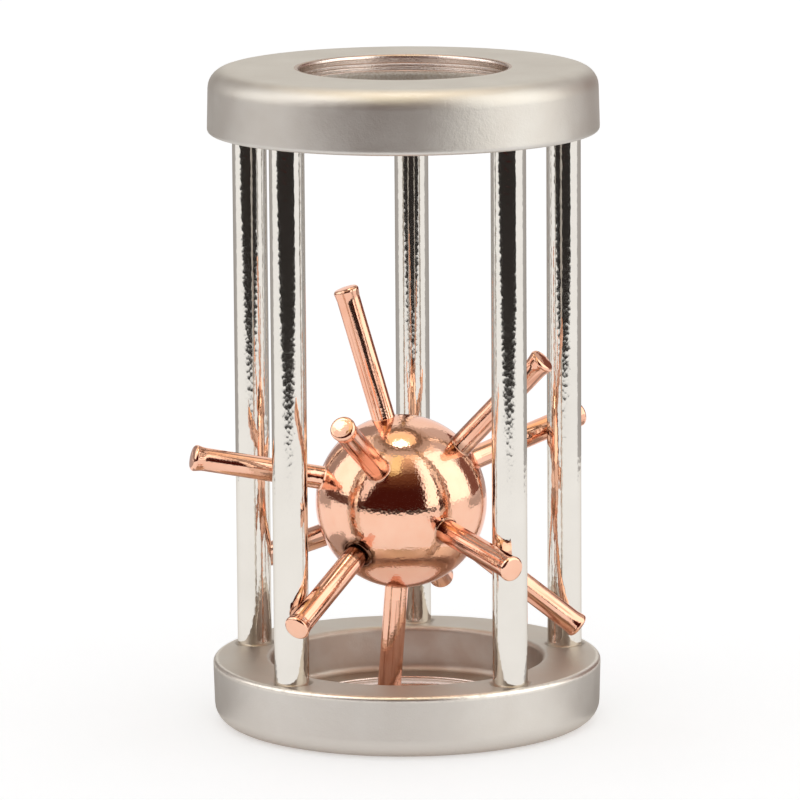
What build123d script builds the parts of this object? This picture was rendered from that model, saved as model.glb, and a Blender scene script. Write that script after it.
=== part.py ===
"""Spiked ball held in a cage of two cast rings and five rods.

The cage stands on its base ring.  The origin is the middle of the ring's
underside, +Z is up, and the widest gap between the rods faces -Y.
All sizes are in millimetres and all angles in degrees.
"""

import os
from math import asin, atan2, degrees, hypot

from build123d import *

# The cage: overall size
cage_height = 76.0

# The two rings, which are one casting: the top one is the base turned over
ring_diameter = 45.0
ring_height = 7.3
ring_draft = 0.2
opening_diameter = 24.0
lip_thickness = 2.0
recess_diameter = 31.5
outer_edge_round = 2.2
inner_edge_round = 0.5
recess_rim_round = 0.6
recess_floor_round = 0.8

# The rods that join the rings, evenly spaced but for one wide gap at the front
post_diameter = 4.0
post_circle_diameter = 38.7
post_socket_depth = 4.5
post_spacing = 70.0
post_steps = {
    "post_front_right": -2,
    "post_back_right": -1,
    "post_back": 0,
    "post_back_left": 1,
    "post_front_left": 2,
}

# The spiked ball, standing on its lowest pin
ball_diameter = 20.0
ball_centre = Vector(-0.4, -3.0, 26.1)
pin_diameter = 2.8
pin_tip_round = 0.35
pin_socket_depth = 3.5
pin_post_clearance = 0.3

# Each pin: the azimuth and elevation it points in, the reach of its tip, and
# how far its axis passes beside the ball's centre, because the sockets are
# drilled by hand.  In place of an azimuth, a pin that reaches out close beside
# a rod names that rod and the side it passes on (1 is anticlockwise of it).
# The lowest pin ends just above the underside of the base.
pins = {
    "pin_up_left": (-175.0, 74.3, 25.8, (0.7, 0.1, 0.2)),
    "pin_front_up": (-107.0, 30.5, 23.4, (0.2, 0.0, 0.2)),
    "pin_left": (-164.5, 11.5, 25.3, (0.2, 0.2, 1.2)),
    "pin_front_left_down": (("post_front_left", 1), -29.0, 23.8, (0.0, 0.0, 0.0)),
    "pin_down": (-177.5, -85.5, 25.9, (0.2, 0.0, 0.0)),
    "pin_front_right_down": (("post_front_right", -1), -9.5, 23.7, (-0.2, -0.1, -0.3)),
    "pin_right_down": (12.0, -39.1, 26.2, (0.6, 0.2, 0.7)),
    "pin_right_up": (-16.0, 46.5, 24.6, (0.4, 0.0, -0.4)),
    "pin_back_right": (("post_back_right", 1), 14.0, 26.8, (-0.5, 0.2, 1.1)),
    "pin_back_left_down": (138.0, -21.0, 24.2, (0.2, -0.1, -0.7)),
    "pin_back_down": (79.0, -33.0, 24.0, (0.0, 0.0, 0.0)),
    "pin_back": (102.0, 6.0, 22.0, (0.0, 0.0, 0.0)),
}

ring_radius = ring_diameter / 2
opening_radius = opening_diameter / 2
recess_radius = recess_diameter / 2
ball_radius = ball_diameter / 2
post_circle_radius = post_circle_diameter / 2

os.makedirs("parts", exist_ok=True)


def save(piece, name):
    """Label a finished piece and write it under its own name."""
    piece.part.label = name
    export_step(piece.part, f"parts/{name}.step")


def post_place(step):
    """Where a rod stands in plan, a number of spacings round from the back."""
    return Vector(post_circle_radius, 0, 0).rotate(Axis.Z, 90 + step * post_spacing)


def azimuth_past(post, side, start):
    """Azimuth of a pin that starts there and just clears a rod on one side."""
    to_post = post_place(post_steps[post]) - start
    gap = (post_diameter + pin_diameter) / 2 + pin_post_clearance
    turn = asin(gap / hypot(to_post.X, to_post.Y))
    return degrees(atan2(to_post.Y, to_post.X) + side * turn)


def pin_plane(azimuth, elevation, beside):
    """A plane at the ball's centre whose normal is the pin's axis."""
    start = ball_centre + Vector(*beside)
    if isinstance(azimuth, tuple):
        azimuth = azimuth_past(*azimuth, start)
    axis = Vector(1, 0, 0).rotate(Axis.Y, -elevation).rotate(Axis.Z, azimuth)
    return Plane(origin=start, z_dir=axis)


# Base ring: a turned profile with the recess facing up into the cage, a thin
# lip round the opening, and blind sockets that hold the rods
with BuildPart() as base_ring:
    with BuildSketch(Plane.XZ) as profile:
        with BuildLine():
            Polyline(
                (opening_radius, 0),
                (ring_radius - ring_draft, 0),
                (ring_radius, ring_height),
                (recess_radius, ring_height),
                (recess_radius, lip_thickness),
                (opening_radius, lip_thickness),
                close=True,
            )
        make_face()
        inner_edge = profile.vertices().sort_by(Axis.X)[-1]
        fillet(inner_edge, inner_edge_round)
        outer_edge = profile.vertices().group_by(Axis.Y)[0].sort_by(Axis.X)[-1]
        fillet(outer_edge, outer_edge_round)
        recess_rim = profile.vertices().group_by(Axis.Y)[-1].sort_by(Axis.X)[0]
        fillet(recess_rim, recess_rim_round)
        recess_floor = profile.vertices().filter_by_position(
            Axis.Y, lip_thickness, lip_thickness
        ).sort_by(Axis.X)[-1]
        fillet(recess_floor, recess_floor_round)
    revolve(axis=Axis.Z)
    with BuildSketch(Plane.XY.offset(ring_height)):
        with Locations(*[post_place(step) for step in post_steps.values()]):
            Circle(post_diameter / 2)
    extrude(amount=-post_socket_depth, mode=Mode.SUBTRACT)
save(base_ring, "base_ring")

# Top ring: the same casting turned over.  The rods' pattern is the same on
# both sides of the middle, so a mirror image is the turned casting itself.
with BuildPart() as top_ring:
    mirror(base_ring.part, about=Plane.XY.offset(cage_height / 2))
save(top_ring, "top_ring")

# Rods: each one bottoms in its two sockets
post_foot = ring_height - post_socket_depth
for name, step in post_steps.items():
    with BuildPart() as post:
        with BuildSketch(Plane.XY.offset(post_foot)):
            with Locations(post_place(step)):
                Circle(post_diameter / 2)
        extrude(amount=cage_height - 2 * post_foot)
    save(post, name)

# Ball: solid, with a blind socket for every pin
pin_foot = ball_radius - pin_socket_depth
with BuildPart() as ball:
    with Locations(ball_centre):
        Sphere(ball_radius)
    for azimuth, elevation, reach, beside in pins.values():
        with BuildSketch(pin_plane(azimuth, elevation, beside).offset(pin_foot)):
            Circle(pin_diameter / 2)
        extrude(amount=ball_radius, mode=Mode.SUBTRACT)
save(ball, "ball")

# Pins: each one bottoms in its socket and has a rounded tip
for name, (azimuth, elevation, reach, beside) in pins.items():
    plane = pin_plane(azimuth, elevation, beside)
    with BuildPart() as pin:
        with BuildSketch(plane.offset(pin_foot)):
            Circle(pin_diameter / 2)
        extrude(amount=reach - pin_foot)
        tip_edge = pin.edges().filter_by(GeomType.CIRCLE).sort_by(Axis(plane.origin, plane.z_dir))[-1]
        fillet(tip_edge, pin_tip_round)
    save(pin, name)
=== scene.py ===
import math

import bpy
import numpy as np
from mathutils import Matrix, Vector


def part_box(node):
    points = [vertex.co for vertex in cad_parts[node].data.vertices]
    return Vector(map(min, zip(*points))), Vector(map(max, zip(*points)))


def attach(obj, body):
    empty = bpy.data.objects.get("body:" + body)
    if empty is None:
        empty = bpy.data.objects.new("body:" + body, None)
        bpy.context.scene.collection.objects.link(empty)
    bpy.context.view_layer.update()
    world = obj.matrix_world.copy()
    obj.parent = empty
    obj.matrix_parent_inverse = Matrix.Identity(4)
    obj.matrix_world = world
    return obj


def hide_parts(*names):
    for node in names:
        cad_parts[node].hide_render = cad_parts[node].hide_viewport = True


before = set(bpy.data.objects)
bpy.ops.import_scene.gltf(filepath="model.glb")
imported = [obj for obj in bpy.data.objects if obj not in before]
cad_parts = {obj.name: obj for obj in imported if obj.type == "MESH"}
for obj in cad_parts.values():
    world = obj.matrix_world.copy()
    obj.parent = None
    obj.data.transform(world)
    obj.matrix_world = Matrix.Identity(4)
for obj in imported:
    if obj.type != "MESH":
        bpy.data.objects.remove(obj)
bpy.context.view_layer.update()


# ---------------------------------------------------------------------------
# The two rings.  One zinc die casting, used twice: the base lies with its
# recess up and the top is the same piece turned over.  Blasted, then plated
# with satin nickel.  The rods are pressed into countersunk blind sockets.
# ---------------------------------------------------------------------------
MM = 0.001
ring_low, ring_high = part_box("base_ring")
cage_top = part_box("top_ring")[1].z
RING_RADIUS = 22.5 * MM
RING_HEIGHT = ring_high.z - ring_low.z
RING_DRAFT = 0.2 * MM
OPENING_RADIUS = 12.0 * MM
LIP_THICKNESS = 2.0 * MM
LIP_STEP = 0.3 * MM
LIP_STEP_HEIGHT = 1.0 * MM
RECESS_RADIUS = 15.75 * MM
OUTER_EDGE_ROUND = 2.2 * MM
INNER_EDGE_ROUND = 0.5 * MM
RECESS_RIM_ROUND = 0.6 * MM
RECESS_FLOOR_ROUND = 0.8 * MM
LIP_ROUND = 0.3 * MM
COUNTERSINK_DEPTH = 0.35 * MM
COUNTERSINK_WIDTH = 0.45 * MM
# How far apart the outline's points are, on the face with the sockets and elsewhere
FINE = 0.15 * MM
COARSE = 0.9 * MM


def rounded_outline(corners, margin, arc_points=9):
    """Closed outline of straight runs joined by tangent arcs.

    Each corner is (x, y, round, step).  An arc leaves its run
    round * tan(turn / 2) before the corner and its points turn evenly about a
    centre that lies round off both runs.  The straight run after a corner has
    a point margin from each end and is divided evenly, about step apart.
    """
    spots = np.array([c[:2] for c in corners])
    rounds = np.array([c[2] for c in corners])
    before = spots - np.roll(spots, 1, axis=0)
    after = np.roll(spots, -1, axis=0) - spots
    before /= np.linalg.norm(before, axis=1)[:, None]
    after /= np.linalg.norm(after, axis=1)[:, None]
    turn = np.arctan2(
        before[:, 0] * after[:, 1] - before[:, 1] * after[:, 0], (before * after).sum(1)
    )
    start = spots - before * (rounds * np.tan(np.abs(turn) / 2))[:, None]
    side = np.sign(turn)[:, None] * np.stack([-before[:, 1], before[:, 0]], 1)
    centre = start + side * rounds[:, None]
    share = np.linspace(0, 1, arc_points)
    angle = turn[:, None] * share
    arm = -side[:, None] * rounds[:, None, None]
    arcs = centre[:, None] + np.stack(
        [
            arm[..., 0] * np.cos(angle) - arm[..., 1] * np.sin(angle),
            arm[..., 0] * np.sin(angle) + arm[..., 1] * np.cos(angle),
        ],
        2,
    )
    runs = []
    for arc, following, corner in zip(arcs, np.roll(arcs, -1, axis=0), corners):
        runs.append(arc)
        gap = np.linalg.norm(following[0] - arc[-1])
        if gap > 3 * margin:
            count = max(round((gap - 2 * margin) / corner[3]), 1)
            inner = np.linspace(margin, gap - margin, count + 1)[:, None] / gap
            runs.append(arc[-1] + (following[0] - arc[-1]) * inner)
    return np.concatenate(runs)


def surface(name, grid, closed_rows):
    """Mesh over a grid of points whose columns join round to the first one.

    grid[i, j] is row i, column j.  With closed_rows the last row joins the
    first; without, the first and last rows are single points, where the mesh
    closes in a fan.  The faces are turned so that they enclose a positive
    volume, which makes them point outwards.
    """
    rows, columns = grid.shape[:2]
    index = np.arange(rows * columns).reshape(rows, columns)
    points = grid.reshape(-1, 3)
    if not closed_rows:
        index[0] = index[0, 0]
        index[-1] = index[-1, 0]
    lower = index if closed_rows else index[:-1]
    upper = np.roll(index, -1, axis=0) if closed_rows else index[1:]
    quads = np.stack([lower, np.roll(lower, -1, 1), np.roll(upper, -1, 1), upper], -1)
    quads = quads.reshape(-1, 4)
    corner = points[quads]
    side = corner[:, 1:] - corner[:, :1]
    twice_areas = np.cross(side[:, 0], side[:, 1]) + np.cross(side[:, 1], side[:, 2])
    if (corner[:, 0] * twice_areas).sum() < 0:
        quads = quads[:, ::-1]
    used, packed = np.unique(quads, return_inverse=True)
    quads = packed.reshape(-1, 4)
    same = quads == np.roll(quads, 1, 1)
    at_pole = same.any(1)
    fan = [face[~repeat].tolist() for face, repeat in zip(quads[at_pole], same[at_pole])]
    whole = quads[~at_pole]
    mesh = bpy.data.meshes.new(name)
    mesh.from_pydata(points[used].tolist(), [], whole.tolist() + fan)
    mesh.polygons.foreach_set("use_smooth", np.ones(len(mesh.polygons), bool))
    mesh.update()
    piece = bpy.data.objects.new(name, mesh)
    bpy.context.scene.collection.objects.link(piece)
    return piece, used


def node_points(node):
    """The distinct points of a CAD node's mesh, one row each."""
    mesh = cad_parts[node].data
    flat = np.empty(len(mesh.vertices) * 3, np.float32)
    mesh.vertices.foreach_get("co", flat)
    return np.unique(flat.reshape(-1, 3).round(7), axis=0).astype(float)


END_BAND = 0.6 * MM


def wire_ends(node):
    """The middles of a straight round piece's two ends, found from its mesh.

    The long axis starts as the mesh's first principal direction.  The points
    within END_BAND of each end lie evenly round the true axis, so the line
    through their two means is a better axis; a few rounds of this settle it.
    """
    points = node_points(node)
    low = points.mean(0)
    axis = np.linalg.svd(points - low, full_matrices=False)[2][0]
    for _ in range(6):
        along = (points - low) @ axis
        low = points[along < along.min() + END_BAND].mean(0)
        high = points[along > along.max() - END_BAND].mean(0)
        axis = (high - low) / np.linalg.norm(high - low)
    along = (points - low) @ axis
    return low + along.min() * axis, low + along.max() * axis


RODS = ["post_front_right", "post_back_right", "post_back", "post_back_left", "post_front_left"]
rod_places = np.array([wire_ends(rod)[0][:2] for rod in RODS])
ROD_RADIUS = 2.0 * MM
GAP_COLUMNS = 108
CROWDING = 0.93
COUNTERSINK_CURVE = 1.4
FACE_BAND = 0.01 * MM


def ring_columns():
    """Angles of the ring's columns: close together beside each rod's socket.

    Between two rods the step grows and shrinks again as a sine wave does, so
    the columns crowd towards both ends of every gap.
    """
    rods = np.sort(np.arctan2(rod_places[:, 1], rod_places[:, 0]) % (2 * np.pi))
    ends = np.append(rods[1:], rods[0] + 2 * np.pi)
    share = np.linspace(0, 1, GAP_COLUMNS, endpoint=False)
    eased = share - CROWDING * np.sin(2 * np.pi * share) / (2 * np.pi)
    return (rods[:, None] + (ends - rods)[:, None] * eased).ravel()


def ring_grid():
    """The casting as a turned outline, sunk in a cone round each rod.

    An outline point (radius, height) goes round the axis.  On the inner face,
    a point inside a countersink's rim drops by the depth times its share of
    the way from the rim in to the rod, to the power COUNTERSINK_CURVE.
    """
    outline = rounded_outline(
        [
            (OPENING_RADIUS, 0, LIP_ROUND, COARSE),
            (RING_RADIUS - RING_DRAFT, 0, OUTER_EDGE_ROUND, COARSE),
            (RING_RADIUS, RING_HEIGHT, INNER_EDGE_ROUND, FINE),
            (RECESS_RADIUS, RING_HEIGHT, RECESS_RIM_ROUND, COARSE),
            (RECESS_RADIUS, LIP_THICKNESS, RECESS_FLOOR_ROUND, COARSE),
            (OPENING_RADIUS + LIP_STEP, LIP_THICKNESS, LIP_STEP / 2, COARSE),
            (OPENING_RADIUS + LIP_STEP, LIP_STEP_HEIGHT, LIP_STEP / 3, COARSE),
            (OPENING_RADIUS, LIP_STEP_HEIGHT, LIP_STEP / 3, COARSE),
        ],
        FINE,
    )
    angle = ring_columns()
    radius, height = outline[:, 0, None], outline[:, 1, None]
    x, y = radius * np.cos(angle), radius * np.sin(angle)
    z = height + 0 * angle
    away = np.sqrt(
        (x[..., None] - rod_places[:, 0]) ** 2 + (y[..., None] - rod_places[:, 1]) ** 2
    ).min(-1)
    sink = np.clip(1 - (away - ROD_RADIUS) / COUNTERSINK_WIDTH, 0, 1)
    on_face = height > RING_HEIGHT - FACE_BAND
    z = z - on_face * COUNTERSINK_DEPTH * sink**COUNTERSINK_CURVE
    return np.stack([x, y, z], -1)


class Wire:
    """An output socket that takes arithmetic; each operator adds a Math node."""

    def __init__(self, finish, socket):
        self.finish = finish
        self.socket = socket

    def math(self, operation, first, second):
        """A Math node on two numbers, either of which may be a wire."""
        return self.finish.node("ShaderNodeMath", {"operation": operation}, {0: first, 1: second})

    def __add__(self, other):
        return self.math("ADD", self, other)

    def __sub__(self, other):
        return self.math("SUBTRACT", self, other)

    def __mul__(self, other):
        return self.math("MULTIPLY", self, other)

    def __rsub__(self, other):
        return self.math("SUBTRACT", other, self)

    __radd__ = __add__
    __rmul__ = __mul__


class Finish:
    """A material, or the world, being written: node() adds one shader node."""

    def __init__(self, name, owner=None):
        self.material = owner or bpy.data.materials.new(name)
        self.material.use_nodes = True
        self.tree = self.material.node_tree
        self.tree.nodes.clear()

    def node(self, kind, settings=None, inputs=None, output=0):
        """Add a node: settings first, then values or wires on its sockets."""
        made = self.tree.nodes.new(kind)
        for key, value in (settings or {}).items():
            if key == "stops":
                for stop, (place, colour) in zip(made.color_ramp.elements, value):
                    stop.position = place
                    stop.color = colour
            else:
                setattr(made, key, value)
        for key, value in (inputs or {}).items():
            if isinstance(value, Wire):
                self.tree.links.new(value.socket, made.inputs[key])
            else:
                made.inputs[key].default_value = value
        return Wire(self, made.outputs[output]) if made.outputs else made

    def noise(self, place, scale, detail=3.0, roughness=0.5):
        """Noise of about one spot per 1 / scale metres, from 0 to 1."""
        return self.node(
            "ShaderNodeTexNoise",
            {"noise_dimensions": "3D"},
            {"Vector": place, "Scale": scale, "Detail": detail, "Roughness": roughness},
        )

    def ramp(self, value, low, high):
        """Value stretched so that low becomes 0 and high becomes 1."""
        return self.node(
            "ShaderNodeMapRange",
            {"clamp": True},
            {"Value": value, "From Min": low, "From Max": high},
        )

    def mix(self, factor, first, second):
        """A colour between first and second."""
        return self.node(
            "ShaderNodeMix",
            {"data_type": "RGBA"},
            {"Factor": factor, 6: first, 7: second},
            output=2,
        )

    def bump(self, height, distance):
        """A normal turned by a height of 0 to 1, which stands for the distance."""
        return self.node("ShaderNodeBump", None, {"Height": height, "Distance": distance})

    def parts(self, place):
        """The x, y and z of a place or a direction."""
        return [self.node("ShaderNodeSeparateXYZ", None, {0: place}, output=i) for i in range(3)]

    def dimples(self, place, scale):
        """Shallow round dimples, about one per 1 / scale metres."""
        apart = self.node(
            "ShaderNodeTexVoronoi",
            {"feature": "SMOOTH_F1"},
            {"Vector": place, "Scale": scale, "Smoothness": 0.35},
        )
        return apart * apart

    def metal(self, colour, roughness, normal, edge):
        """End the material in a metal whose colour is tinted by edge when seen aslant."""
        shader = self.node(
            "ShaderNodeBsdfPrincipled",
            None,
            {
                "Base Color": colour,
                "Roughness": roughness,
                "Normal": normal,
                "Metallic": 1.0,
                "Specular Tint": (*edge, 1),
            },
        )
        self.node("ShaderNodeOutputMaterial", None, {"Surface": shader})
        return self.material


def satin_nickel():
    """Blasted nickel: fine grain, faint cloudiness, and warm grey colour.

    The base's upper face, most of all its recess, is painted darker and
    copper brown as a reflection of the copper ball and pins.  The top's
    recess is painted darker brown as shade and copper reflection.  The
    base's upper outer edge is worn smoother and painted lighter as a
    highlight.  The opening is turned smooth and keeps its tool lines,
    banded pink and brown as a painted reflection of the copper ball.
    """
    finish = Finish("satin_nickel")
    place = finish.node("ShaderNodeTexCoord", output=3)
    x, y, z = finish.parts(place)
    out = x * x + y * y
    grain = finish.noise(place, 4200.0, 2.0, 0.6)
    dimples = finish.noise(place, 1500.0, 2.0, 0.5)
    cloud = finish.noise(place, 190.0, 3.0, 0.55)
    shade = finish.ramp(cloud, 0.3, 0.7)
    colour = finish.mix(shade, (0.65, 0.61, 0.565, 1), (0.70, 0.67, 0.63, 1))
    in_recess = finish.ramp(out, (RECESS_RADIUS + 0.5 * MM) ** 2, (RECESS_RADIUS - 0.1 * MM) ** 2)
    in_base = finish.ramp(z, RING_HEIGHT + 1.0 * MM, RING_HEIGHT)
    on_face = finish.ramp(out, RING_RADIUS**2, (RING_RADIUS - 0.8 * MM) ** 2)
    # Painted reflection of the copper ball and pins: the base's upper face, most of all its recess,
    # is mixed towards a darker copper brown
    painted_copper_reflection = (in_recess * 0.60 + 0.40) * in_base * on_face * finish.ramp(cloud, 0.20, 0.60)
    colour = finish.mix(painted_copper_reflection * 0.58, colour, (0.44, 0.28, 0.20, 1))
    # Painted shade and copper reflection: the top's recess, facing down over the ball, is mixed
    # towards a darker brown
    in_top = finish.ramp(z, cage_top - RING_HEIGHT, cage_top - RING_HEIGHT + 0.5 * MM)
    below_lip = finish.ramp(z, cage_top - 1.7 * MM, cage_top - 1.95 * MM)
    painted_recess_shade = in_recess * in_top * below_lip * finish.ramp(grain, 0.2, 0.7)
    colour = finish.mix(painted_recess_shade * 0.8, colour, (0.36, 0.28, 0.19, 1))
    # The base's upper outer edge: smoother from wear, and painted lighter as a highlight
    wear_and_painted_highlight = (
        in_base
        * finish.ramp(z, RING_HEIGHT - 0.75 * MM, RING_HEIGHT - 0.35 * MM)
        * finish.ramp(out, (RING_RADIUS - 0.65 * MM) ** 2, (RING_RADIUS - 0.40 * MM) ** 2)
        * finish.ramp(dimples, 0.2, 0.5)
    )
    colour = finish.mix(wear_and_painted_highlight * 0.8, colour, (0.97, 0.90, 0.82, 1))
    turned = finish.ramp(out, (OPENING_RADIUS + 0.55 * MM) ** 2, (OPENING_RADIUS + 0.40 * MM) ** 2)
    lines = finish.node(
        "ShaderNodeTexNoise",
        {"noise_dimensions": "1D"},
        {"W": z * (4.2 / MM) + cloud * 0.6, "Scale": 1.0, "Detail": 2.0},
    )
    line_tint = finish.ramp(lines, 0.42, 0.62)
    # The opening's tool lines are banded pink and brown, a painted reflection of the copper ball
    tool_lines_painted_reflection = finish.mix(line_tint, (0.97, 0.86, 0.81, 1), (0.55, 0.40, 0.31, 1))
    colour = finish.mix(turned, colour, tool_lines_painted_reflection)
    roughness = finish.ramp(cloud, 0.25, 0.75) * 0.06 + 0.43 - turned * 0.20 - wear_and_painted_highlight * 0.15
    normal = finish.bump(grain * 0.6 + dimples * 0.6 + turned * lines * 1.2, 0.03 * MM)
    return finish.metal(colour, roughness, normal, edge=(0.60, 0.58, 0.55))


ring_finish = satin_nickel()
base_ring, _ = surface("satin_base_ring", ring_grid(), closed_rows=True)
top_grid = ring_grid() * (-1, 1, -1) + (0, 0, cage_top)
top_ring, _ = surface("satin_top_ring", top_grid, closed_rows=True)
for piece, node in ((base_ring, "base_ring"), (top_ring, "top_ring")):
    piece.data.materials.append(ring_finish)
    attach(piece, "cage")
    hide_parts(node)


# ---------------------------------------------------------------------------
# The five rods.  Cut from drawn steel wire, bright nickel plated in a barrel,
# which leaves a fine orange peel and dimples in the mirror, and pressed into
# both rings.
# ---------------------------------------------------------------------------
def side_axes(axis):
    """Two directions at right angles to an axis and to each other."""
    helper = np.array([0.0, 0.0, 1.0]) if abs(axis[2]) < 0.9 else np.array([1.0, 0.0, 0.0])
    across = np.cross(axis, helper)
    across /= np.linalg.norm(across)
    return across, np.cross(axis, across)


def wire_grid(start, end, along, radius, columns):
    """A round piece between two points, from its distances and radii.

    along gives each row's distance from start and radius its radius, as one
    number per row or one per row and column; the rows are circles about the
    line from start to end.
    """
    axis = (end - start) / np.linalg.norm(end - start)
    across, up = side_axes(axis)
    angle = np.linspace(0, 2 * np.pi, columns, endpoint=False)
    along, radius = (v[:, None] if v.ndim == 1 else v for v in (along, radius))
    spoke = np.cos(angle)[:, None] * across + np.sin(angle)[:, None] * up
    return start + along[..., None] * axis + radius[..., None] * spoke


def bright_nickel():
    """Mirror nickel over drawn wire: orange peel, shallow dimples, a warm tint."""
    finish = Finish("bright_nickel")
    place = finish.node("ShaderNodeTexCoord", output=3)
    drawn = finish.node("ShaderNodeMapping", None, {"Vector": place, "Scale": (1.0, 1.0, 0.55)})
    peel = finish.noise(drawn, 900.0, 2.0, 0.5)
    dimples = finish.dimples(drawn, 3000.0)
    cloud = finish.noise(place, 260.0)
    colour = finish.mix(cloud, (0.84, 0.80, 0.74, 1), (0.76, 0.72, 0.66, 1))
    roughness = finish.noise(place, 3800.0, 2.0, 0.6) * 0.09 + 0.03
    normal = finish.bump(peel * 0.5 + dimples * 0.42, 0.018 * MM)
    return finish.metal(colour, roughness, normal, edge=(0.75, 0.72, 0.68))


ROD_COLUMNS = 72
ROD_ROWS = 240
PLATE_UNEVEN = 0.0009 * MM


def rod_radius(along):
    """The rod's radius at each row and column, uneven where the plate is thin.

    Two sine waves that wind round the rod opposite ways are taken off it, so
    it is nowhere thicker than the wire.
    """
    angle = np.linspace(0, 2 * np.pi, ROD_COLUMNS, endpoint=False)
    slow = np.sin(along[:, None] / (3.1 * MM) + 2 * angle)
    fast = np.sin(along[:, None] / (1.7 * MM) - 3 * angle)
    return ROD_RADIUS - (slow + fast + 2) * PLATE_UNEVEN


rod_finish = bright_nickel()
for name in RODS:
    foot, head = wire_ends(name)
    length = np.linalg.norm(head - foot)
    along = np.concatenate([[0], np.linspace(0, length, ROD_ROWS), [length]])
    radius = rod_radius(along)
    radius[0] = radius[-1] = 0
    grid = wire_grid(foot, head, along, radius, ROD_COLUMNS)
    rod, _ = surface("bright_" + name, grid, closed_rows=False)
    rod.data.materials.append(rod_finish)
    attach(rod, "cage")
    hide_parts(name)


# ---------------------------------------------------------------------------
# The ball.  A solid casting, drilled by hand for its pins, tumbled and copper
# plated with the pins in place, so the plating gathers in a low collar round
# each of them.
# ---------------------------------------------------------------------------
ball_low, ball_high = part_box("ball")
BALL_RADIUS = (ball_high.x - ball_low.x) / 2
ball_centre = np.array(
    [(ball_low.x + ball_high.x) / 2, (ball_low.y + ball_high.y) / 2, ball_high.z - BALL_RADIUS]
)
PIN_RADIUS = 1.4 * MM
PINS = [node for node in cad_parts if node.startswith("pin_")]
WAIST_NARROWING = 0.012


def pin_ends(node):
    """Foot and tip of a pin: the foot is the end nearer the ball's centre."""
    return sorted(wire_ends(node), key=lambda end: np.linalg.norm(end - ball_centre))


def ball_radius_at(rise):
    """The ball's radius in a direction whose upward part is rise."""
    return BALL_RADIUS * (1 - WAIST_NARROWING * (1 - rise**2))


def ball_grid(rows=180, columns=360):
    """A globe, a hair narrower round the waist.

    The radius falls with the square of the cosine of the latitude.
    """
    latitude = np.linspace(-np.pi / 2, np.pi / 2, rows)[:, None]
    longitude = np.linspace(0, 2 * np.pi, columns, endpoint=False)
    out = np.stack(
        [
            np.cos(latitude) * np.cos(longitude),
            np.cos(latitude) * np.sin(longitude),
            np.sin(latitude) + 0 * longitude,
        ],
        -1,
    )
    radius = ball_radius_at(np.sin(latitude))
    return ball_centre + out * radius[..., None]


def copper_plate(name, light, deep, streaked, root_shades=()):
    """Bright copper plate: orange peel, dimples and, if streaked, draw lines.

    Each root shade is a spot, a radius and a strength: painted shade, dark
    brown there, which clears towards the radius.
    """
    finish = Finish(name)
    place = finish.node("ShaderNodeTexCoord", output=3)
    peel = finish.noise(place, 700.0, 2.0, 0.5)
    tone = finish.ramp(finish.noise(place, 240.0, 3.0, 0.6), 0.3, 0.7)
    colour = finish.mix(tone, (*light, 1), (*deep, 1))
    roughness = finish.noise(place, 3400.0, 2.0, 0.6) * 0.08 + 0.06
    height = peel * 0.42 + finish.dimples(place, 3600.0) * 0.30
    if streaked:
        lines = finish.node("ShaderNodeUVMap", {"uv_map": "length"})
        scaled = finish.node("ShaderNodeMapping", None, {"Vector": lines, "Scale": (26.0, 0.10, 1.0)})
        drawn = finish.node(
            "ShaderNodeTexNoise",
            {"noise_dimensions": "2D"},
            {"Vector": scaled, "Scale": 1.0, "Detail": 2.0},
        )
        height = height * 0.5 + drawn * 0.9
        colour = finish.mix(finish.ramp(drawn, 0.60, 0.72) * 0.5, colour, (0.42, 0.14, 0.07, 1))
    # Painted shade, dark brown, in the crease round each listed pin's root
    for spot, radius, strength in root_shades:
        away = finish.node(
            "ShaderNodeVectorMath", {"operation": "DISTANCE"}, {0: place, 1: tuple(spot)}, output=1
        )
        ragged = away + (peel - 0.5) * 0.8 * MM
        painted_shade = finish.ramp(ragged, radius, radius * 0.78) * strength
        colour = finish.mix(painted_shade, colour, (0.10, 0.035, 0.015, 1))
    normal = finish.bump(height, 0.026 * MM)
    return finish.metal(colour, roughness, normal, edge=(0.95, 0.84, 0.82))


# Painted shade in the crease where a pin meets the ball: radius and strength
PAINTED_ROOT_SHADE = {
    "pin_front_left_down": (2.45 * MM, 0.9),
    "pin_front_right_down": (1.75 * MM, 0.6),
    "pin_right_up": (1.8 * MM, 0.5),
    "pin_front_up": (1.7 * MM, 0.4),
}


def pin_root(node):
    """Where a pin's axis leaves the ball."""
    foot, tip = pin_ends(node)
    axis = (tip - foot) / np.linalg.norm(tip - foot)
    arm = foot - ball_centre
    along = arm @ axis
    return foot + axis * (-along + np.sqrt(BALL_RADIUS**2 - arm @ arm + along**2))


root_shades = [(pin_root(node), radius, strength) for node, (radius, strength) in PAINTED_ROOT_SHADE.items()]
ball, _ = surface("copper_ball", ball_grid(), closed_rows=False)
plate_finish = copper_plate(
    "copper_plate", (0.98, 0.60, 0.44), (0.93, 0.52, 0.36), streaked=False, root_shades=root_shades
)
ball.data.materials.append(plate_finish)
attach(ball, "hedgehog")
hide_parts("ball")


# ---------------------------------------------------------------------------
# The pins.  Cropped lengths of drawn wire with rounded ends, pressed into the
# ball and copper plated with it: faint draw lines run along them and the
# plating flares a little where they meet the ball.
# ---------------------------------------------------------------------------
PIN_COLUMNS = 64
TIP_ROUND = 0.42 * MM
TIP_CROWN = 0.10 * MM
BEAD = 0.07 * MM
BEADS = {"pin_right_up": 0.14 * MM, "pin_front_left_down": 0.12 * MM, "pin_left": 0.12 * MM}
WAIST = 0.05 * MM
SLANT = 0.09 * MM
chance = np.random.default_rng(7)
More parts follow.
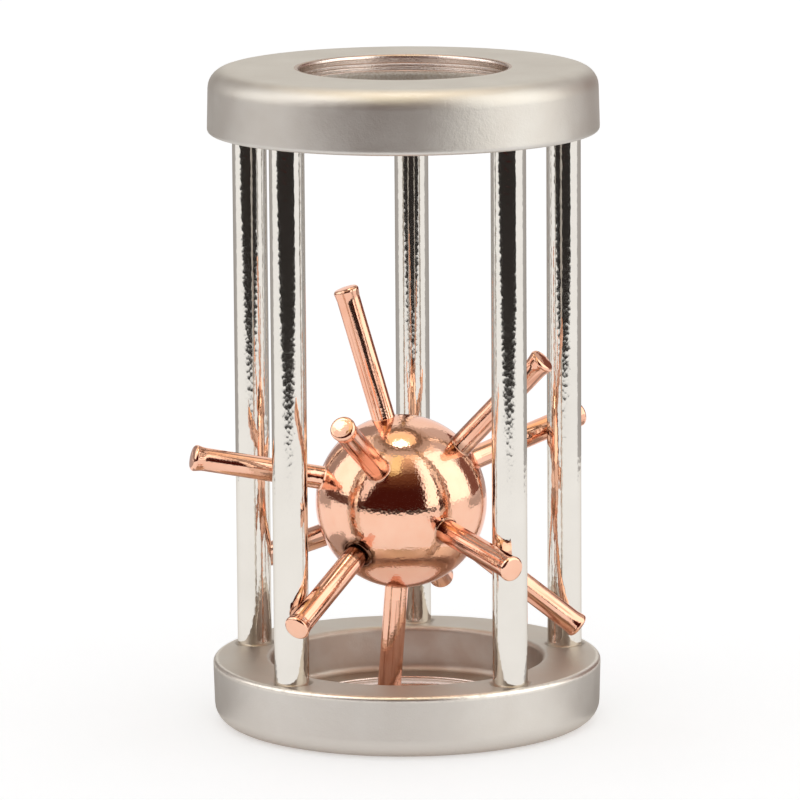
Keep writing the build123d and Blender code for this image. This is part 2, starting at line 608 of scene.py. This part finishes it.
# Outline of the plating round a pin's root, in mm out from the pin's side and
# up from the ball, walking in from the ball to the pin
FILLET = [
    (0.30, -0.10),
    (0.20, 0.00),
    (0.14, 0.02),
    (0.08, 0.05),
    (0.04, 0.09),
    (0.01, 0.14),
    (0.00, 0.20),
]
LIP = [
    (0.62, -0.12),
    (0.52, 0.00),
    (0.45, 0.16),
    (0.36, 0.24),
    (0.26, 0.20),
    (0.20, 0.00),
    (0.16, -0.30),
    (0.00, -0.30),
]
FOOT_OUTLINES = {"pin_front_left_down": LIP}
COLLAR_REACH = 2.05 * MM
SHAFT_ROWS = 70
BEAD_LENGTH = 1.1 * MM
ROW_GAP = 0.1 * MM
UNDER_PLATE = 0.99
pin_finish = copper_plate("copper_wire", (0.96, 0.58, 0.43), (0.90, 0.48, 0.33), streaked=True)


def give_length_map(piece, used, along, columns):
    """UV map of a round piece: turns round it, and millimetres along it."""
    rows = used // columns
    u = (used % columns) / columns
    v = along[rows] / MM
    mesh = piece.data
    loops = np.empty(len(mesh.loops), np.int32)
    mesh.loops.foreach_get("vertex_index", loops)
    layer = mesh.uv_layers.new(name="length")
    uv = np.stack([u[loops], v[loops]], -1)
    sizes = np.empty(len(mesh.polygons), np.int32)
    mesh.polygons.foreach_get("loop_total", sizes)
    face = np.repeat(np.arange(len(sizes)), sizes)
    widest = np.zeros(len(sizes))
    np.maximum.at(widest, face, uv[:, 0])
    uv[:, 0] += (widest[face] - uv[:, 0]) > 0.5
    layer.data.foreach_set("uv", uv.ravel().astype(np.float32))


def ball_depth(axis, points):
    """Distance along axis from each point to a sphere just under the ball's plate."""
    arm = points - ball_centre
    along = arm @ axis
    return -along + np.sqrt((BALL_RADIUS * UNDER_PLATE) ** 2 - (arm**2).sum(-1) + along**2)


def pin_rows(length, rim, collar_radius, bead):
    """Every row's distance along a pin and its radius, from the foot to the tip.

    From the collar's rim the shaft runs a WAIST thinner than the wire, and
    swells to the bead at the tip as a flat-topped bell.  A quarter circle
    rounds the tip's edge.  The end face is a low dome, and the cut is aslant
    by SLANT from one side to the other, which fades at the dome's middle.
    """
    shaft_start = rim[-1].max() + ROW_GAP
    shaft = np.linspace(shaft_start, length - TIP_ROUND - TIP_CROWN - ROW_GAP, SHAFT_ROWS)
    turn = np.linspace(0, np.pi / 2, 10)
    round_along = length - TIP_CROWN - TIP_ROUND + TIP_ROUND * np.sin(turn)
    round_radius = PIN_RADIUS - TIP_ROUND + TIP_ROUND * np.cos(turn)
    crown = np.linspace(1, 0, 8)[1:]
    crown_along = length - TIP_CROWN * crown**2
    turned = np.linspace(0, 2 * np.pi, PIN_COLUMNS, endpoint=False) + chance.uniform(0, 6)
    slope = (1 - np.cos(turned)) * SLANT / 2
    crown_slope = crown[:, None] * slope + (1 - crown[:, None]) * SLANT / 2
    along = np.concatenate(
        [
            np.zeros((2, PIN_COLUMNS)),
            rim,
            shaft[:, None] + 0 * slope,
            round_along[:, None] - slope,
            crown_along[:, None] - crown_slope,
        ]
    )
    along[1] += ROW_GAP
    radius = np.concatenate(
        [
            [0, PIN_RADIUS],
            collar_radius,
            PIN_RADIUS - WAIST + (bead + WAIST) * np.exp(-(((length - shaft) / BEAD_LENGTH) ** 4)),
            bead + round_radius,
            (PIN_RADIUS - TIP_ROUND + bead) * crown,
        ]
    )
    return along, radius


for name in PINS:
    foot, tip = pin_ends(name)
    length = np.linalg.norm(tip - foot)
    axis = (tip - foot) / length
    outline = np.array(FOOT_OUTLINES.get(name, FILLET)) * MM
    collar_radius = PIN_RADIUS - WAIST + outline[:, 0]
    flat = wire_grid(foot, tip, np.zeros(len(outline)), collar_radius, PIN_COLUMNS)
    rim = ball_depth(axis, flat) + outline[:, 1:]
    along, radius = pin_rows(length, rim, collar_radius, BEADS.get(name, BEAD))
    grid = wire_grid(foot, tip, along, radius, PIN_COLUMNS)
    pin, used = surface("copper_" + name, grid, closed_rows=False)
    give_length_map(pin, used, along.mean(1), PIN_COLUMNS)
    pin.data.materials.append(pin_finish)
    pin.data.materials.append(plate_finish)
    faces = np.empty(len(pin.data.polygons) * 3, np.float32)
    pin.data.polygons.foreach_get("center", faces)
    faces = faces.reshape(-1, 3)
    at_tip = (faces - foot) @ axis > length - TIP_ROUND - TIP_CROWN
    at_root = np.linalg.norm(faces - pin_root(name), axis=1) < COLLAR_REACH
    pin.data.polygons.foreach_set("material_index", (at_tip | at_root).astype(np.int32))
    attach(pin, "hedgehog")
    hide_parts(name)


# ---------------------------------------------------------------------------
# The table and the light.  A white sheet in a white tent, with a soft light on
# each side and one overhead.  Only the metal sees the sheet's front end, the
# dark room behind the camera, and the sheet's shaded part behind the cage.
# ---------------------------------------------------------------------------
def flat_piece(name, corners):
    """One flat face of the stage."""
    mesh = bpy.data.meshes.new(name)
    mesh.from_pydata([tuple(c) for c in corners], [], [tuple(range(len(corners)))])
    piece = bpy.data.objects.new(name, mesh)
    bpy.context.scene.collection.objects.link(piece)
    return piece


def plain(name, colour, glow):
    """A matt colour without any shine, which may glow white."""
    finish = Finish(name)
    shader = finish.node(
        "ShaderNodeBsdfPrincipled",
        None,
        {
            "Base Color": (*colour, 1),
            "Roughness": 0.9,
            "Specular IOR Level": 0.0,
            "Emission Color": (1, 1, 1, 1),
            "Emission Strength": glow,
        },
    )
    finish.node("ShaderNodeOutputMaterial", None, {"Surface": shader})
    return finish.material


FLOOR_HALF = 6.0
SHEET_FRONT = -0.220
ROOM_BACK = -0.850
ABOVE_SHEET = 0.1 * MM
CARD_DISTANCE = 0.85
floor = flat_piece(
    "table_sheet",
    [(x * FLOOR_HALF, y * FLOOR_HALF, -0.02 * MM) for x, y in ((-1, -1), (1, -1), (1, 1), (-1, 1))],
)
floor.data.materials.append(plain("white_sheet", (0.80, 0.80, 0.80), 0.37))


def reflected_only(piece):
    """Show a piece in the metal's reflections and nowhere else."""
    piece.visible_camera = False
    piece.visible_diffuse = False
    piece.visible_shadow = False
    piece.visible_transmission = False
    piece.visible_volume_scatter = False


dark_floor = flat_piece(
    "sheet_end",
    [
        (-0.60, SHEET_FRONT, ABOVE_SHEET),
        (0.27, SHEET_FRONT, ABOVE_SHEET),
        (0.95, ROOM_BACK, ABOVE_SHEET),
        (-1.90, ROOM_BACK, ABOVE_SHEET),
    ],
)
dark_floor.data.materials.append(plain("dark_floor", (0.036, 0.032, 0.030), 0.0))
reflected_only(dark_floor)


def ring_sector(first, last, inner, outer, height):
    """Corners of a sector of a flat ring: one arc out and the other back."""
    turn = np.radians(np.linspace(first, last, 25))
    arc = np.stack([np.sin(turn), -np.cos(turn)], 1)
    flat = np.concatenate([arc * inner, arc[::-1] * outer])
    return np.column_stack([flat, np.full(len(flat), height)])


# Each shade: its first and last azimuth, and its near and far edge in metres
sheet_shade = plain("shaded_sheet", (0.58, 0.56, 0.555), 0.0)
for name, first, last, near, far in (
    ("far_shade", 104, 256, 0.17, 0.80),
    ("near_shade", 78, 282, 0.0235, 0.050),
):
    shade = flat_piece(name, ring_sector(first, last, near, far, ABOVE_SHEET))
    shade.data.materials.append(sheet_shade)
    reflected_only(shade)


def card(name, colour, glow, outline, upper=None, fade=(0, 90)):
    """A card round the cage, seen only in the metal.

    Its outline is in degrees, azimuth (0 in front, 90 on the right) and
    elevation, as seen from the ball, and lies CARD_DISTANCE away.  With an
    upper colour it turns into that colour between the two fade elevations.
    """
    azimuth, elevation = np.radians(np.array(outline, float)).T
    way = np.stack(
        [
            np.sin(azimuth) * np.cos(elevation),
            -np.cos(azimuth) * np.cos(elevation),
            np.sin(elevation),
        ],
        1,
    )
    piece = flat_piece(name, ball_centre + way * CARD_DISTANCE)
    finish = Finish(name)
    place = finish.node("ShaderNodeTexCoord", output=3)
    arm = finish.node(
        "ShaderNodeVectorMath", {"operation": "SUBTRACT"}, {0: place, 1: tuple(ball_centre)}
    )
    rise = finish.parts(finish.node("ShaderNodeVectorMath", {"operation": "NORMALIZE"}, {0: arm}))[2]
    part = finish.ramp(rise, *np.sin(np.radians(fade)).tolist())
    shade = finish.mix(part, (*colour, 1), (*(upper or colour), 1))
    light = finish.node("ShaderNodeEmission", None, {"Color": shade, "Strength": glow})
    finish.node("ShaderNodeOutputMaterial", None, {"Surface": light})
    piece.data.materials.append(finish.material)
    reflected_only(piece)


card(
    "dark_room",
    (0.050, 0.006, 0.003),
    1.0,
    [(-56, -2), (37, -2), (36, 15), (34, 40), (0, 44), (-24, 40), (-36, 30), (-44, 15)],
    upper=(0.16, 0.07, 0.035),
    fade=(24, 42),
)
card(
    "dim_room",
    (0.13, 0.055, 0.03),
    1.0,
    [(34, 40), (31, 66), (8, 68), (0, 44)],
    upper=(0.80, 0.60, 0.40),
    fade=(44, 65),
)
card("left_gap", (0.10, 0.05, 0.04), 1.0, [(-122, -2), (-56, -2), (-44, 7), (-122, 5)])
card("right_rear", (0.20, 0.10, 0.08), 1.0, [(112, -1), (160, -1), (160, 24), (112, 27)])
card("right_grey", (0.62, 0.60, 0.59), 1.0, [(112, 27), (160, 24), (162, 60), (112, 60)])
card("left_grey", (0.36, 0.33, 0.32), 1.0, [(-160, -1), (-116, -1), (-116, 50), (-160, 50)])
card(
    "left_softbox",
    (1.0, 0.99, 0.95),
    1.55,
    [(-115, 5), (-62, 6), (-62, 42), (-80, 40), (-115, 37)],
)
card("left_edge", (1.0, 0.93, 0.90), 1.0, [(-62, 7), (-43, 7), (-46, 28), (-62, 42)])
card("left_lamp", (1.0, 0.97, 0.92), 2.8, [(-80, 44), (-45, 42), (-36, 60), (-72, 64)])
card(
    "right_softbox",
    (1.0, 0.99, 0.93),
    1.75,
    [(39, 1), (75, 1), (110, 1), (108, 50), (75, 62), (41, 62), (40, 30)],
)
card(
    "lamp_glow",
    (0.30, 0.19, 0.06),
    1.1,
    [(-24, 40), (0, 44), (8, 60), (0, 74), (-22, 72)],
    upper=(1.0, 0.93, 0.52),
    fade=(42, 52),
)
card("top_lamp", (1.0, 1.0, 0.97), 4.0, [(turn, 82) for turn in range(0, 360, 30)])

# The tent is white to the camera and dimmer to the sheet, and in the metal its
# roof turns amber overhead
world = bpy.data.worlds.new("white_tent")
bpy.context.scene.world = world
tent = Finish("white_tent", world)
roof = tent.node(
    "ShaderNodeValToRGB",
    {"stops": [(0.80, (1.0, 1.01, 1.0, 1)), (0.97, (1.25, 0.98, 0.60, 1))]},
    {0: tent.parts(tent.node("ShaderNodeTexCoord"))[2]},
)
seen = tent.node("ShaderNodeBackground", None, {"Color": (1, 1, 1, 1)})
felt = tent.node("ShaderNodeBackground", None, {"Color": (0.82, 0.82, 0.82, 1)})
mirrored = tent.node("ShaderNodeBackground", None, {"Color": roof})
by_mirror = tent.node("ShaderNodeLightPath", output="Is Glossy Ray")
by_camera = tent.node("ShaderNodeLightPath", output="Is Camera Ray")
unseen = tent.node("ShaderNodeMixShader", None, {0: by_mirror, 1: felt, 2: mirrored})
whole = tent.node("ShaderNodeMixShader", None, {0: by_camera, 1: unseen, 2: seen})
tent.node("ShaderNodeOutputWorld", None, {"Surface": whole})
bpy.context.scene.view_settings.view_transform = "Standard"


# ---------------------------------------------------------------------------
# The camera.  A long lens a little above the cage, turned a few degrees off
# its front, and tilted by a hair.
# ---------------------------------------------------------------------------
CAMERA_AZIMUTH = math.radians(2.7)
CAMERA_ELEVATION = math.radians(9.95)
CAMERA_ROLL = math.radians(-0.40)
CAMERA_DISTANCE = 699.4 * MM
AIM_RIGHT = -0.60 * MM
AIM_UP = -0.63 * MM

ahead = Vector(
    (
        -math.sin(CAMERA_AZIMUTH) * math.cos(CAMERA_ELEVATION),
        math.cos(CAMERA_AZIMUTH) * math.cos(CAMERA_ELEVATION),
        -math.sin(CAMERA_ELEVATION),
    )
)
right = ahead.cross(Vector((0, 0, 1))).normalized()
centre = Vector((0, 0, cage_top / 2))
stand = centre - ahead * CAMERA_DISTANCE
aim = centre + right * AIM_RIGHT + right.cross(ahead) * AIM_UP
ahead = (aim - stand).normalized()
right = ahead.cross(Vector((0, 0, 1))).normalized()
up = right.cross(ahead)
rolled_right = right * math.cos(CAMERA_ROLL) + up * math.sin(CAMERA_ROLL)
rolled_up = up * math.cos(CAMERA_ROLL) - right * math.sin(CAMERA_ROLL)
lens = bpy.data.cameras.new("camera")
lens.sensor_width = 36.0
lens.lens = 272.9
lens.clip_end = 20.0
camera = bpy.data.objects.new("camera", lens)
bpy.context.scene.collection.objects.link(camera)
camera.matrix_world = Matrix.Translation(stand) @ Matrix(
    (rolled_right, rolled_up, -ahead)
).transposed().to_4x4()
bpy.context.scene.camera = camera
